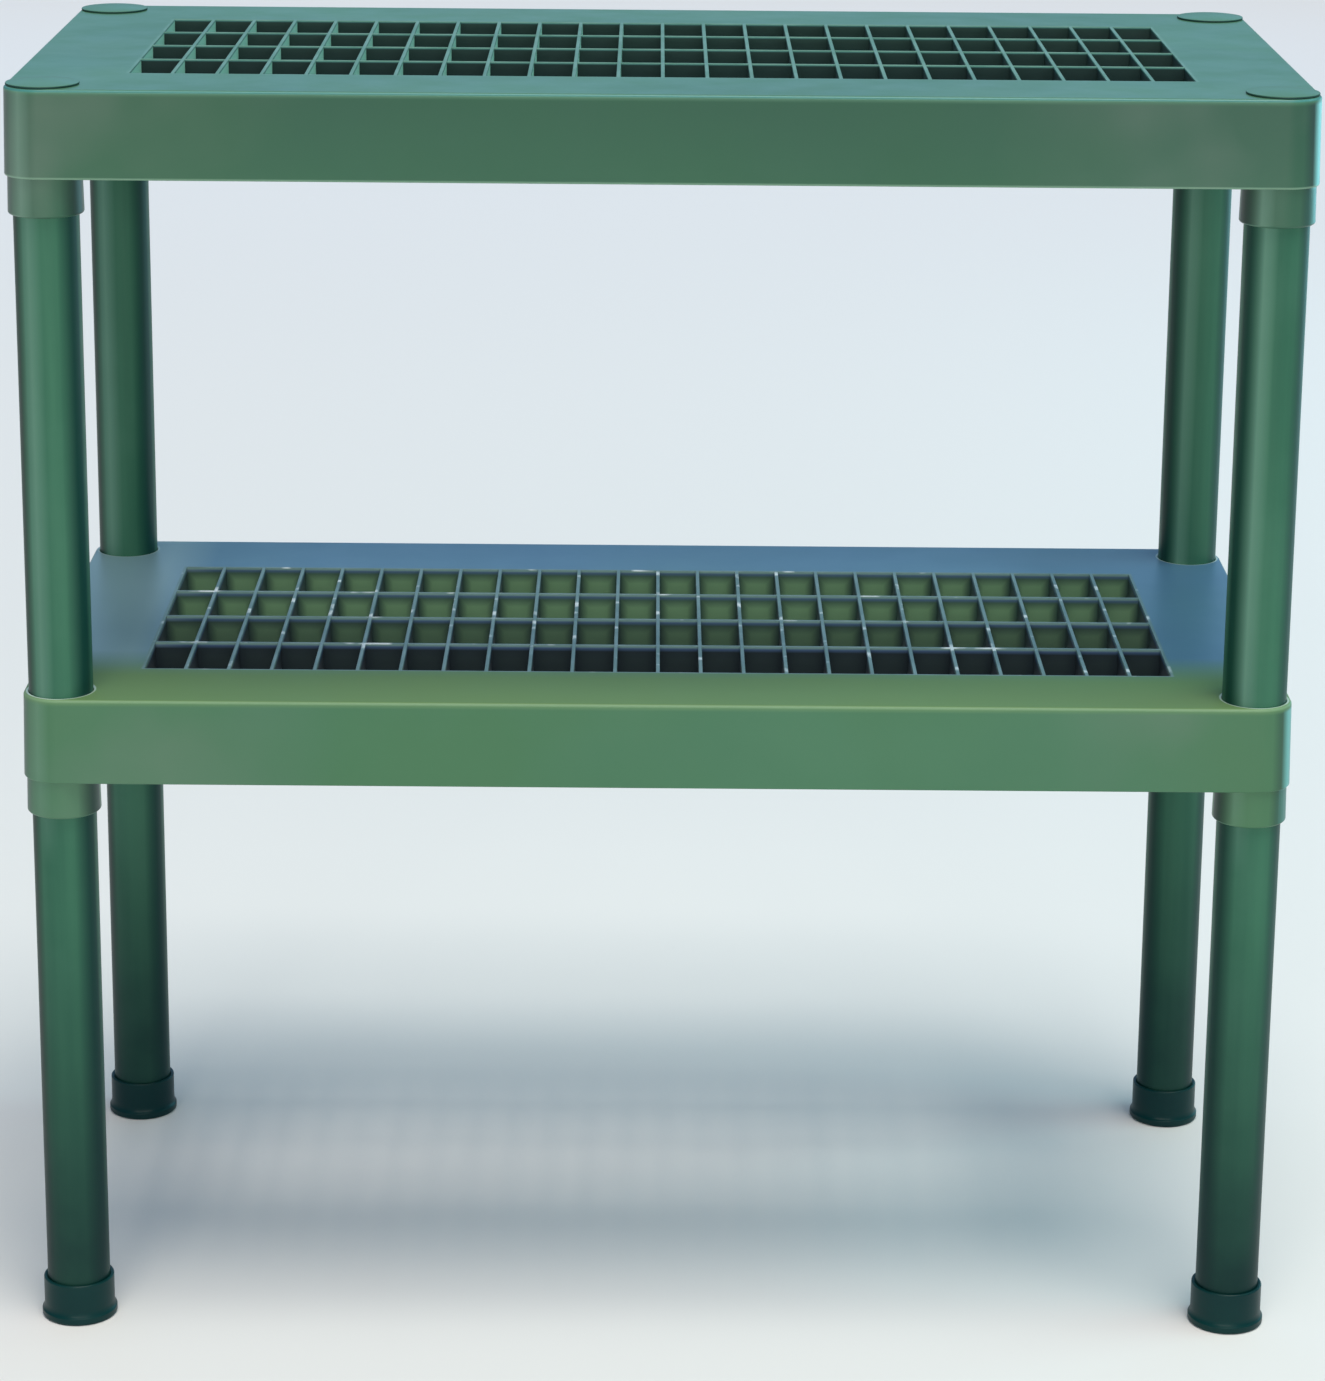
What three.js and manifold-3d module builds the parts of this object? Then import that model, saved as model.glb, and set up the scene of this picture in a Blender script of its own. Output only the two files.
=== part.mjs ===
// Two-tier greenhouse staging bench in moulded green plastic, knocked down into shelves and tubes.
// Millimetres, +Z up. The origin is on the floor at the middle of the bench, and the front is -Y.
// Two identical shelf mouldings are carried at their corners by eight identical tubes. Each tube
// pushes into a socket until it meets a ledge, the bottom ends wear foot cups, and round plugs
// close the sockets of the upper shelf.

import {
  BoxGeometry,
  BufferAttribute,
  BufferGeometry,
  Group,
  LatheGeometry,
  Mesh,
  MeshStandardMaterial,
  Vector2,
} from "three";
import { mergeVertices } from "three/addons/utils/BufferGeometryUtils.js";
import Module from "manifold-3d";

const wasm = await Module();
wasm.setup();

// Clearances: round the tubes and plugs, and under whatever rests on a seat.
const fitGap = 0.3;
const seatGap = 0.3;

// Tubes: the four legs and the four posts are one part.
const tubeDiameter = 38.5;
const tubeWall = 2;
const tubeLength = 361;

// Shelf moulding: deck, skirt and the open lattice let into the deck.
const shelfWidth = 760;
const shelfDepth = 370;
const skirtHeight = 52;
const skirtWall = 2.6;
const skirtFlare = 1;
const skirtEdge = 0.8;
const deckThickness = 3;
const deckEdgeRadius = 2;
const sideMargin = 66.8;
const frontMargin = 68;
const latticeColumns = 24;
const latticeRows = 4;
const latticeDepth = 20;
const ribThickness = 2.4;
const frameWall = 2.4;
const stiffenerWall = 2;
const stiffenerDepth = 18;
const ribsPerStiffener = 3;

// Corner sockets, moulded in one with the shelf.
const socketWall = 2.2;
const socketMargin = 0.55;
const collarDrop = 23;
const collarFlare = 0.4;
const collarChamfer = 2.2;
const ledgeThickness = 3;
const ledgeWidth = 4.5;
const holeChamfer = 0.4;

// Foot cups on the bottom ends of the legs.
const footHeight = 26;
const footFloor = 5;
const footWall = 2.15;
const footRimRound = 1;
const footLip = 1.5;
const footLipHeight = 4.5;
const footFlareHeight = 4;
const footTread = 1.6;

// Round plugs in the corner holes of the upper shelf.
const capFlange = 2.05;
const capRimHeight = 1.1;
const capDome = 1.6;
const capTop = 1.8;
const capPlugDepth = 14;
const capPlugWall = 1.8;
const capLeadIn = 1;

// Roundness of the model, in straight steps.
const roundSides = 24;
const cornerSteps = roundSides / 4;
const filletSteps = 3;
const domeSteps = 3;

// How far a cut runs past what it cuts.
const cutOverrun = 1;

const plasticGreen = 0x4f8068;
const plasticRoughness = 0.42;

// Sizes that follow from the ones above.
const tubeRadius = tubeDiameter / 2;
const boreRadius = tubeRadius + fitGap;
const socketRadius = boreRadius + socketWall;
const postInset = socketRadius + socketMargin;
const socketDepth = skirtHeight + collarDrop;
const tubeEngagement = (socketDepth - ledgeThickness) / 2;
const latticeWidth = shelfWidth - 2 * sideMargin;
const latticeLength = shelfDepth - 2 * frontMargin;
const columnPitch = (latticeWidth + ribThickness) / latticeColumns;
const rowPitch = (latticeLength + ribThickness) / latticeRows;

// Levels, counted up from the floor: a tube stands on its seat and carries the next ledge.
const legBottom = footFloor + seatGap;
const lowerLedge = legBottom + tubeLength + seatGap;
const lowerDeck = lowerLedge + ledgeThickness + tubeEngagement;
const postBottom = lowerLedge + ledgeThickness + seatGap;
const upperLedge = postBottom + tubeLength + seatGap;
const upperDeck = upperLedge + ledgeThickness + tubeEngagement;

const postX = shelfWidth / 2 - postInset;
const postY = shelfDepth / 2 - postInset;
const corners = [
  { name: "front_left", x: -postX, y: -postY },
  { name: "front_right", x: postX, y: -postY },
  { name: "back_left", x: -postX, y: postY },
  { name: "back_right", x: postX, y: postY },
];

// A closed geometry becomes a solid that can be joined and cut.
function toSolid(geometry) {
  const bare = geometry.clone();
  bare.deleteAttribute("normal");
  bare.deleteAttribute("uv");
  const merged = mergeVertices(bare);
  const vertProperties = new Float32Array(merged.attributes.position.array);
  const triVerts = new Uint32Array(merged.index.array);
  return new wasm.Manifold(new wasm.Mesh({ numProp: 3, vertProperties, triVerts }));
}

// A solid becomes a geometry again, with flat shading.
function toGeometry(solid) {
  const { vertProperties, triVerts } = solid.getMesh();
  const geometry = new BufferGeometry();
  geometry.setAttribute("position", new BufferAttribute(new Float32Array(vertProperties), 3));
  geometry.setIndex(new BufferAttribute(new Uint32Array(triVerts), 1));
  geometry.computeVertexNormals();
  return geometry;
}

// A box from its lowest and highest places along each axis.
function block([x0, x1], [y0, y1], [z0, z1]) {
  const box = new BoxGeometry(1, 1, 1);
  const corner = box.attributes.position;
  for (let k = 0; k < corner.count; k += 1) {
    const x = corner.getX(k) > 0 ? x1 : x0;
    const y = corner.getY(k) > 0 ? y1 : y0;
    const z = corner.getZ(k) > 0 ? z1 : z0;
    corner.setXYZ(k, x, y, z);
  }
  return box;
}

// A profile of [radius, height] points turned about the Z axis. A profile that leaves the axis
// out, such as a tube's, is closed on itself.
function turned(profile) {
  const points = profile.map(([radius, height]) => new Vector2(radius, height));
  if (profile[0][0] > 0) points.push(points[0].clone());
  return new LatheGeometry(points, roundSides).rotateX(Math.PI / 2);
}

// The shelf's outline moved outwards by an offset, with round corners about the post axes.
function shelfOutline(offset) {
  const points = [];
  const radius = postInset + offset;
  const signs = [[1, 1], [-1, 1], [-1, -1], [1, -1]];
  signs.forEach(([sideX, sideY], quarter) => {
    for (let step = 0; step <= cornerSteps; step += 1) {
      const angle = (quarter + step / cornerSteps) * (Math.PI / 2);
      points.push([sideX * postX + radius * Math.cos(angle), sideY * postY + radius * Math.sin(angle)]);
    }
  });
  return points;
}

// Outlines stacked at rising heights and skinned into one closed body.
function stacked(levels) {
  const positions = [];
  const index = [];
  for (const { offset, z } of levels) {
    for (const [x, y] of shelfOutline(offset)) positions.push(x, y, z);
  }
  const count = positions.length / (3 * levels.length);
  for (let level = 0; level + 1 < levels.length; level += 1) {
    for (let k = 0; k < count; k += 1) {
      const a = level * count + k;
      const b = level * count + ((k + 1) % count);
      index.push(a, b, b + count, a, b + count, a + count);
    }
  }
  const top = (levels.length - 1) * count;
  for (let k = 1; k + 1 < count; k += 1) {
    index.push(0, k + 1, k);
    index.push(top, top + k, top + k + 1);
  }
  const geometry = new BufferGeometry();
  geometry.setAttribute("position", new BufferAttribute(new Float32Array(positions), 3));
  geometry.setIndex(index);
  return geometry;
}

// The skirt leans out by the flare from the deck's rounded edge down to its bottom edge.
function skirtOffset(z) {
  return (skirtFlare * (z + deckEdgeRadius)) / (deckEdgeRadius - skirtHeight);
}

function shelfOutside() {
  const levels = [
    { offset: skirtFlare - skirtEdge, z: -skirtHeight },
    { offset: skirtOffset(skirtEdge - skirtHeight), z: skirtEdge - skirtHeight },
  ];
  for (let step = 0; step <= filletSteps; step += 1) {
    const angle = (step / filletSteps) * (Math.PI / 2);
    const inwards = deckEdgeRadius * (1 - Math.cos(angle));
    levels.push({ offset: -inwards, z: deckEdgeRadius * (Math.sin(angle) - 1) });
  }
  return toSolid(stacked(levels));
}

function shelfInside() {
  const bottom = -skirtHeight - cutOverrun;
  return toSolid(stacked([
    { offset: skirtOffset(bottom) - skirtWall, z: bottom },
    { offset: skirtOffset(-deckThickness) - skirtWall, z: -deckThickness },
  ]));
}

// The lattice: a deep frame with its ribs, level with the deck and open from top to bottom.
function lattice() {
  const halfWidth = latticeWidth / 2 + frameWall;
  const halfLength = latticeLength / 2 + frameWall;
  const frame = block([-halfWidth, halfWidth], [-halfLength, halfLength], [-latticeDepth, 0]);
  const through = [-latticeDepth - cutOverrun, cutOverrun];
  let body = toSolid(frame);
  for (let column = 0; column < latticeColumns; column += 1) {
    const x = column * columnPitch - latticeWidth / 2;
    for (let row = 0; row < latticeRows; row += 1) {
      const y = row * rowPitch - latticeLength / 2;
      const alongX = [x, x + columnPitch - ribThickness];
      const alongY = [y, y + rowPitch - ribThickness];
      body = body.subtract(toSolid(block(alongX, alongY, through)));
    }
  }
  return body;
}

// Walls under the deck margins, which tie the lattice frame to the skirts: one in line with each
// side of the frame, and shorter ones in line with some of the ribs.
function stiffeners() {
  const height = [-stiffenerDepth, -deckThickness / 2];
  const frameX = (latticeWidth + frameWall) / 2;
  const frameY = (latticeLength + frameWall) / 2;
  const reachX = (shelfWidth - skirtWall) / 2;
  const reachY = (shelfDepth - skirtWall) / 2;
  const atX = [-frameX, frameX];
  const atY = [-frameY, frameY];
  for (let rib = ribsPerStiffener; rib < latticeColumns; rib += ribsPerStiffener) {
    atX.push(rib * columnPitch - (latticeWidth + ribThickness) / 2);
  }
  for (let rib = 1; rib < latticeRows; rib += 1) {
    atY.push(rib * rowPitch - (latticeLength + ribThickness) / 2);
  }
  const walls = [];
  for (const x of atX) {
    const across = [x - stiffenerWall / 2, x + stiffenerWall / 2];
    walls.push(block(across, [frameY, reachY], height), block(across, [-reachY, -frameY], height));
  }
  for (const y of atY) {
    const across = [y - stiffenerWall / 2, y + stiffenerWall / 2];
    walls.push(block([frameX, reachX], across, height), block([-reachX, -frameX], across, height));
  }
  return walls.map(toSolid);
}

// The outside of a socket: a tube from just under the deck to the collar below the skirt.
function socketOutside() {
  const bottom = -socketDepth;
  return turned([
    [0, bottom],
    [socketRadius + collarFlare - collarChamfer, bottom],
    [socketRadius + collarFlare, bottom + collarChamfer],
    [socketRadius, -skirtHeight],
    [socketRadius, -deckThickness / 2],
    [0, -deckThickness / 2],
  ]);
}

// The bore of a socket, necked at the ledge where the tubes from below and above stop.
function socketInside() {
  const ledgeTop = -tubeEngagement;
  const ledgeBottom = ledgeTop - ledgeThickness;
  const mouth = boreRadius + holeChamfer;
  return turned([
    [0, -socketDepth - cutOverrun],
    [boreRadius, -socketDepth - cutOverrun],
    [boreRadius, ledgeBottom],
    [boreRadius - ledgeWidth, ledgeBottom],
    [boreRadius - ledgeWidth, ledgeTop],
    [boreRadius, ledgeTop],
    [boreRadius, -holeChamfer],
    [mouth, 0],
    [mouth, cutOverrun],
    [0, cutOverrun],
  ]);
}

// One shelf moulding, with its deck at height zero.
function shelf() {
  const window = block(
    [-(latticeWidth + frameWall) / 2, (latticeWidth + frameWall) / 2],
    [-(latticeLength + frameWall) / 2, (latticeLength + frameWall) / 2],
    [-deckThickness - cutOverrun, cutOverrun],
  );
  let body = shelfOutside().subtract(shelfInside()).subtract(toSolid(window)).add(lattice());
  for (const wall of stiffeners()) body = body.add(wall);
  for (const { x, y } of corners) body = body.add(toSolid(socketOutside().translate(x, y, 0)));
  for (const { x, y } of corners) body = body.subtract(toSolid(socketInside().translate(x, y, 0)));
  return toGeometry(body);
}

// One tube, standing on height zero, open at both ends.
function tube() {
  const inner = tubeRadius - tubeWall;
  return turned([
    [inner, 0],
    [tubeRadius, 0],
    [tubeRadius, tubeLength],
    [inner, tubeLength],
  ]);
}

// One foot cup: a thick floor, a lip that spreads at the floor and a rounded rim.
function foot() {
  const outer = boreRadius + footWall;
  const lip = outer + footLip;
  return toGeometry(toSolid(turned([
    [0, 0],
    [lip - footTread, 0],
    [lip, footTread],
    [lip, footLipHeight],
    [outer + footLip / 4, footLipHeight + footFlareHeight / 2],
    [outer, footLipHeight + footFlareHeight],
    [outer, footHeight - footRimRound],
    [outer - footRimRound / 3, footHeight - footRimRound / 3],
    [outer - footRimRound, footHeight],
    [boreRadius, footHeight],
    [boreRadius, footFloor],
    [0, footFloor],
  ])));
}

// One plug, with the underside of its flange a seat gap above height zero.
function cap() {
  const plug = tubeRadius;
  const flange = plug + capFlange;
  const rimTop = seatGap + capRimHeight;
  const ceiling = rimTop + capDome - capTop;
  const profile = [
    [0, ceiling],
    [plug - capPlugWall, ceiling],
    [plug - capPlugWall, -capPlugDepth],
    [plug - capLeadIn, -capPlugDepth],
    [plug, capLeadIn - capPlugDepth],
    [plug, seatGap],
    [flange, seatGap],
    [flange, rimTop],
  ];
  for (let step = 1; step <= domeSteps; step += 1) {
    const share = 1 - step / domeSteps;
    profile.push([flange * share, rimTop + capDome * (1 - share * share)]);
  }
  return toGeometry(toSolid(turned(profile)));
}

// Every piece is its own mesh with its own material.
const bench = new Group();

function place(name, geometry, x, y, z) {
  const material = new MeshStandardMaterial({
    color: plasticGreen,
    roughness: plasticRoughness,
    metalness: 0,
  });
  const mesh = new Mesh(geometry, material);
  mesh.name = name;
  mesh.position.set(x, y, z);
  bench.add(mesh);
}

const shelfGeometry = shelf();
place("lower_shelf", shelfGeometry, 0, 0, lowerDeck);
place("upper_shelf", shelfGeometry.clone(), 0, 0, upperDeck);
for (const { name, x, y } of corners) {
  place(`foot_${name}`, foot(), x, y, 0);
  place(`leg_${name}`, tube(), x, y, legBottom);
  place(`post_${name}`, tube(), x, y, postBottom);
  place(`cap_${name}`, cap(), x, y, upperDeck);
}

export default bench;
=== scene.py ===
# %% [markdown]
# # A greenhouse staging bench in Blender
#
# The bench has two identical moulded shelves, eight identical tubes, four foot cups and four
# round plugs. Its CAD model gives every piece its place and its size. This lesson dresses that
# model: it makes each piece again with finer edges and rounder turns, in the same place, and
# gives it the look of green moulded plastic that has stood outdoors.

# %% Start from the CAD model
import math
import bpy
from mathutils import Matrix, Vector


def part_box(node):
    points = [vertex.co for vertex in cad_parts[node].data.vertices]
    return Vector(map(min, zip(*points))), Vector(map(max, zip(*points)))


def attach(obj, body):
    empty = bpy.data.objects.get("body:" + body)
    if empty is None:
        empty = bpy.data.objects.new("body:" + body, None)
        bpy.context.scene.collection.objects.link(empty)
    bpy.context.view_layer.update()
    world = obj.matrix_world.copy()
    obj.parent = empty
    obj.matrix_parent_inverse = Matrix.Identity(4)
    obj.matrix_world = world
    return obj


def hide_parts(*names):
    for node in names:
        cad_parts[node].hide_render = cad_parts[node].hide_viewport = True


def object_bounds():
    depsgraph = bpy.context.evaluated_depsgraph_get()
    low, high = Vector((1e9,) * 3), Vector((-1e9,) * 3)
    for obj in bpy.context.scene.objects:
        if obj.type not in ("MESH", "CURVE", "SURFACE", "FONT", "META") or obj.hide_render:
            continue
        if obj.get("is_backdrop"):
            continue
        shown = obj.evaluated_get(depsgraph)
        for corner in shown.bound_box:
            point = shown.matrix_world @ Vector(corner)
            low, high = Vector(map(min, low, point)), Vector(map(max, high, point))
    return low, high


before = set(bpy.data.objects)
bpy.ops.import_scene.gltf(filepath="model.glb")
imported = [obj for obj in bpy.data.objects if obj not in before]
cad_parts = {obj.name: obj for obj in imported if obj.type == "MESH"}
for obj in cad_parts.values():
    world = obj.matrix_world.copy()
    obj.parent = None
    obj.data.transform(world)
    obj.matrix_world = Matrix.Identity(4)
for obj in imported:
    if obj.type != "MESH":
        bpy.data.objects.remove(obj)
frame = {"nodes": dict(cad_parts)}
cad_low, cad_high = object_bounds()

from types import SimpleNamespace

import bmesh
import bpy
from mathutils import Matrix, Vector

MM = 0.001
print("CAD nodes:", len(frame["nodes"]))
print("size in mm:", [round(side / MM, 1) for side in cad_high - cad_low])

# %% [markdown]
# ## Measure the frame
#
# The boxes of the CAD nodes say how wide, deep and high each piece is. Reading them here keeps
# the dressed pieces in step with the CAD model. Wall thicknesses and small radii can't be read
# from a box, so they are named once, next to the piece that uses them.

# %% Places read from the CAD boxes
CORNERS = ["front_left", "front_right", "back_left", "back_right"]
SHELVES = ["lower_shelf", "upper_shelf"]


def middle(node):
    low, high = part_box(node)
    return (low + high) / 2


shelf_low, shelf_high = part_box("upper_shelf")
leg_low, leg_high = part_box("leg_front_left")
post_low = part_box("post_front_left")[0]
foot_low, foot_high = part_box("foot_front_left")
cap_low, cap_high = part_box("cap_front_left")

deck_levels = {name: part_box(name)[1].z for name in SHELVES}
corner_places = {name: middle("leg_" + name) for name in CORNERS}
tube_radius = (leg_high.x - leg_low.x) / 2
tube_length = leg_high.z - leg_low.z
post_x = corner_places["back_right"].x
post_y = corner_places["back_right"].y
socket_depth = shelf_high.z - shelf_low.z
print("deck levels:", {name: round(level, 4) for name, level in deck_levels.items()})
print("post axes at:", round(post_x, 4), round(post_y, 4), "tube radius:", round(tube_radius, 5))

# %% [markdown]
# ## A few tools for edit mode
#
# Blender's operators act on what is selected, so each step first clears the selection and then
# picks vertices, edges or faces by where they are. The helpers below do just that. They keep
# the cells that follow short, and each of them is something one would do with the mouse.

# %% Select and pick
def clear_selection():
    """Leave edit mode and deselect everything."""
    if bpy.context.object and bpy.context.object.mode != "OBJECT":
        bpy.ops.object.mode_set(mode="OBJECT")
    bpy.ops.object.select_all(action="DESELECT")


def make_active(piece):
    clear_selection()
    piece.select_set(True)
    bpy.context.view_layer.objects.active = piece


def pick(piece, kind, test):
    """Select the vertices, edges or faces of a piece that pass a test, in edit mode."""
    make_active(piece)
    bpy.ops.object.mode_set(mode="EDIT")
    bpy.ops.mesh.select_mode(type=kind)
    bpy.ops.mesh.select_all(action="DESELECT")
    mesh = bmesh.from_edit_mesh(piece.data)
    parts = {"VERT": mesh.verts, "EDGE": mesh.edges, "FACE": mesh.faces}[kind]
    picked = [part for part in parts if test(part)]
    for part in picked:
        part.select_set(True)
    mesh.select_flush_mode()
    bmesh.update_edit_mesh(piece.data)
    return len(picked)


print("selection tools ready")

# %% Find by height, and add a block
CLOSE = 0.01 * MM


def at_height(part, height):
    """True if all vertices of an edge or face lie at this height."""
    return all(abs(vertex.co.z - height) < CLOSE for vertex in part.verts)


def block(name, low, high):
    """A box between two corners, from Blender's cube."""
    clear_selection()
    low, high = Vector(low), Vector(high)
    bpy.ops.mesh.primitive_cube_add(size=1, location=(low + high) / 2, scale=high - low)
    piece = bpy.context.object
    piece.name = name
    bpy.ops.object.transform_apply()
    return piece


print("block tool ready, tolerance in mm:", round(CLOSE / MM, 3))

# %% [markdown]
# ## Turn a round piece from rings
#
# Tubes, cups, plugs and sockets are all round. A circle is extruded upwards and scaled, ring
# after ring, as a potter pulls up a wall. That gives full control over every small radius, and
# the sides stay clean quads. Sixty-four sides look round at any distance that shows the bench.

# %% The ring tool
ROUND_SIDES = 64


def turned(name, profile, hollow=False):
    """Rings of (radius, height), joined in turn. Hollow joins the last ring to the first."""
    clear_selection()
    radius, height = profile[0]
    bpy.ops.mesh.primitive_circle_add(vertices=ROUND_SIDES, radius=radius, location=(0, 0, height))
    piece = bpy.context.object
    piece.name = name
    bpy.ops.object.transform_apply()
    bpy.ops.object.mode_set(mode="EDIT")
    bpy.ops.mesh.select_all(action="SELECT")
    for next_radius, next_height in profile[1:]:
        rise = {"value": (0, 0, next_height - height)}
        bpy.ops.mesh.extrude_edges_move(TRANSFORM_OT_translate=rise)
        grow = next_radius / radius
        bpy.ops.transform.resize(value=(grow, grow, 1), center_override=(0, 0, 0))
        radius, height = next_radius, next_height
    bpy.ops.mesh.select_mode(type="EDGE")
    bpy.ops.mesh.select_all(action="DESELECT")
    bpy.ops.mesh.select_non_manifold()
    if hollow:
        bpy.ops.mesh.bridge_edge_loops()
    else:
        bpy.ops.mesh.fill_holes(sides=0)
    bpy.ops.mesh.select_all(action="SELECT")
    bpy.ops.mesh.normals_make_consistent(inside=False)
    bpy.ops.object.mode_set(mode="OBJECT")
    return piece


def arc(centre_radius, centre_height, size, start, end, steps):
    """Points of a rounded edge in a profile, by angle from outwards (0) to upwards (90)."""
    points = []
    for step in range(steps + 1):
        angle = math.radians(start + (end - start) * step / steps)
        across = centre_radius + size * math.cos(angle)
        points.append((across, centre_height + size * math.sin(angle)))
    return points


print("one turned ring has", ROUND_SIDES, "sides")

# %% [markdown]
# ## Join and cut
#
# A shelf is one moulding, so its deck, lattice, walls and sockets become one mesh. A Boolean
# modifier does this as the mould does, and it is applied at once, so that no helper piece is
# left in the scene.

# %% The join-and-cut tool
def combine(piece, other, operation):
    """Apply a Boolean with another piece, and remove that piece."""
    make_active(piece)
    tool = piece.modifiers.new(operation.lower(), "BOOLEAN")
    tool.object = other
    tool.operation = operation
    tool.solver = "EXACT"
    tool.use_self = operation == "UNION"
    bpy.ops.object.modifier_apply(modifier=tool.name)
    bpy.data.objects.remove(other)


def joined(name, pieces):
    """Several loose pieces as one object."""
    make_active(pieces[0])
    for piece in pieces:
        piece.select_set(True)
    if len(pieces) > 1:
        bpy.ops.object.join()
    bpy.context.object.name = name
    return bpy.context.object


print("Boolean tool ready")

# %% [markdown]
# ## The tray of the shelf
#
# Each shelf starts as a shallow tray that stands upside down: a flat deck and a deep skirt all
# round. The corners are rounded about the post axes. The skirt leans out a little on its way
# down, because a moulding needs draft to leave its mould. The deck's outer edge is softly
# rounded, and that small radius catches the line of light along the front of the bench.

# %% Sizes of the tray
SKIRT_HEIGHT = 52 * MM
SKIRT_WALL = 2.6 * MM
SKIRT_FLARE = 0.98 * MM
SKIRT_EDGE = 0.8 * MM
DECK_THICKNESS = 3 * MM
DECK_EDGE = 2 * MM
CORNER_STEPS, DECK_EDGE_STEPS, SKIRT_EDGE_STEPS = 14, 5, 3
LARGE_AREA = 0.1  # in square metres: of the level faces only deck and underside are larger
half_width = shelf_high.x - SKIRT_FLARE
half_depth = shelf_high.y - SKIRT_FLARE
corner_radius = half_width - post_x
print("deck half width and depth:", round(half_width, 4), round(half_depth, 4))

# %% Deck and skirt
tray = block("shelf", (-half_width, -half_depth, -SKIRT_HEIGHT), (half_width, half_depth, 0))


def upright(edge):
    one, two = (vertex.co for vertex in edge.verts)
    return abs(one.z - two.z) > SKIRT_HEIGHT / 2


def widen(extra, width, depth):
    """Scale what is selected about the origin, so that a width and a depth grow by extra."""
    grown = (1 + extra / width, 1 + extra / depth, 1)
    bpy.ops.transform.resize(value=grown, center_override=(0, 0, 0))


pick(tray, "EDGE", upright)
bpy.ops.mesh.bevel(offset=corner_radius, segments=CORNER_STEPS, affect="EDGES")
pick(tray, "VERT", lambda vertex: vertex.co.z < -SKIRT_HEIGHT / 2)
widen(SKIRT_FLARE, half_width, half_depth)
pick(tray, "EDGE", lambda edge: at_height(edge, 0))
bpy.ops.mesh.bevel(offset=DECK_EDGE, segments=DECK_EDGE_STEPS, affect="EDGES")
pick(tray, "EDGE", lambda edge: at_height(edge, -SKIRT_HEIGHT))
bpy.ops.mesh.bevel(offset=SKIRT_EDGE, segments=SKIRT_EDGE_STEPS, affect="EDGES")
print("tray so far:", len(tray.data.vertices), "vertices before the hollow")

# %% Hollow underside
def underside(face):
    return at_height(face, -SKIRT_HEIGHT) and face.calc_area() > LARGE_AREA


pick(tray, "FACE", underside)
bpy.ops.mesh.inset(thickness=SKIRT_WALL - SKIRT_EDGE)
rise = {"value": (0, 0, SKIRT_HEIGHT - DECK_THICKNESS)}
bpy.ops.mesh.extrude_region_move(TRANSFORM_OT_translate=rise)
widen(-SKIRT_FLARE, half_width, half_depth)
clear_selection()
print("tray:", len(tray.data.polygons), "faces")

# %% [markdown]
# ## The lattice
#
# The middle of each shelf is an open grid that lets water drain and air rise. A grid of faces,
# each inset on its own, gives ribs of an even width between the holes. The hole faces are
# deleted, the rest is extruded downwards, and the upper edges of the holes get a small round.
# Those rounds are what glints along the ribs in the photograph.

# %% Sizes of the lattice
LATTICE_COLUMNS = 24
LATTICE_ROWS = 4
SIDE_MARGIN = 66.8 * MM
FRONT_MARGIN = 68 * MM
RIB = 2.4 * MM
LATTICE_DEPTH = 20 * MM
RIB_ROUND = 0.45 * MM
lattice_width = 2 * (half_width - SIDE_MARGIN) + RIB
lattice_depth = 2 * (half_depth - FRONT_MARGIN) + RIB
column_pitch = lattice_width / LATTICE_COLUMNS
row_pitch = lattice_depth / LATTICE_ROWS
rib_x, rib_y = lattice_width / 2, lattice_depth / 2  # the middles of the outermost ribs
print("hole pitch in mm:", round(column_pitch / MM, 2), round(row_pitch / MM, 2))

# %% Ribs and holes
clear_selection()
grid = {"x_subdivisions": LATTICE_COLUMNS, "y_subdivisions": LATTICE_ROWS}
bpy.ops.mesh.primitive_grid_add(size=1, **grid)
lattice = bpy.context.object
lattice.name = "lattice"
bpy.ops.transform.resize(value=(lattice_width, lattice_depth, 1))
bpy.ops.object.transform_apply()
pick(lattice, "FACE", lambda face: True)
bpy.ops.mesh.inset(thickness=RIB / 2, use_individual=True)
bpy.ops.mesh.delete(type="FACE")


def on_rim(edge):
    """True on the outer edge of the grid."""
    centre = (edge.verts[0].co + edge.verts[1].co) / 2
    return abs(abs(centre.x) - rib_x) < CLOSE or abs(abs(centre.y) - rib_y) < CLOSE


print("rim edges:", pick(lattice, "EDGE", on_rim))
bpy.ops.mesh.extrude_edges_move()
widen(RIB, lattice_width, lattice_depth)
pick(lattice, "FACE", lambda face: True)
bpy.ops.mesh.extrude_region_move(TRANSFORM_OT_translate={"value": (0, 0, -LATTICE_DEPTH)})
bpy.ops.mesh.select_all(action="SELECT")
bpy.ops.mesh.normals_make_consistent(inside=False)

# %% Round the upper edges of the holes
lattice_reach = (lattice_width + RIB) / 2, (lattice_depth + RIB) / 2


def hole_edge(edge):
    """True on an upper edge of a hole: one face beside it is level and the other is upright."""
    if not at_height(edge, 0) or len(edge.link_faces) != 2:
        return False
    centre = (edge.verts[0].co + edge.verts[1].co) / 2
    inside = abs(centre.x) < rib_x and abs(centre.y) < rib_y
    return inside and any(abs(face.normal.z) < 0.5 for face in edge.link_faces)


print("hole edges:", pick(lattice, "EDGE", hole_edge))
bpy.ops.mesh.bevel(offset=RIB_ROUND, segments=2, affect="EDGES")
clear_selection()
print("lattice:", len(lattice.data.polygons), "faces")

# %% [markdown]
# ## Walls under the deck
#
# A flat deck of this width would sag under pots. Walls under its margins tie the lattice frame
# to the skirt, one in line with each side of the frame and more in line with some of the ribs.
# They show only from below.

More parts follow.
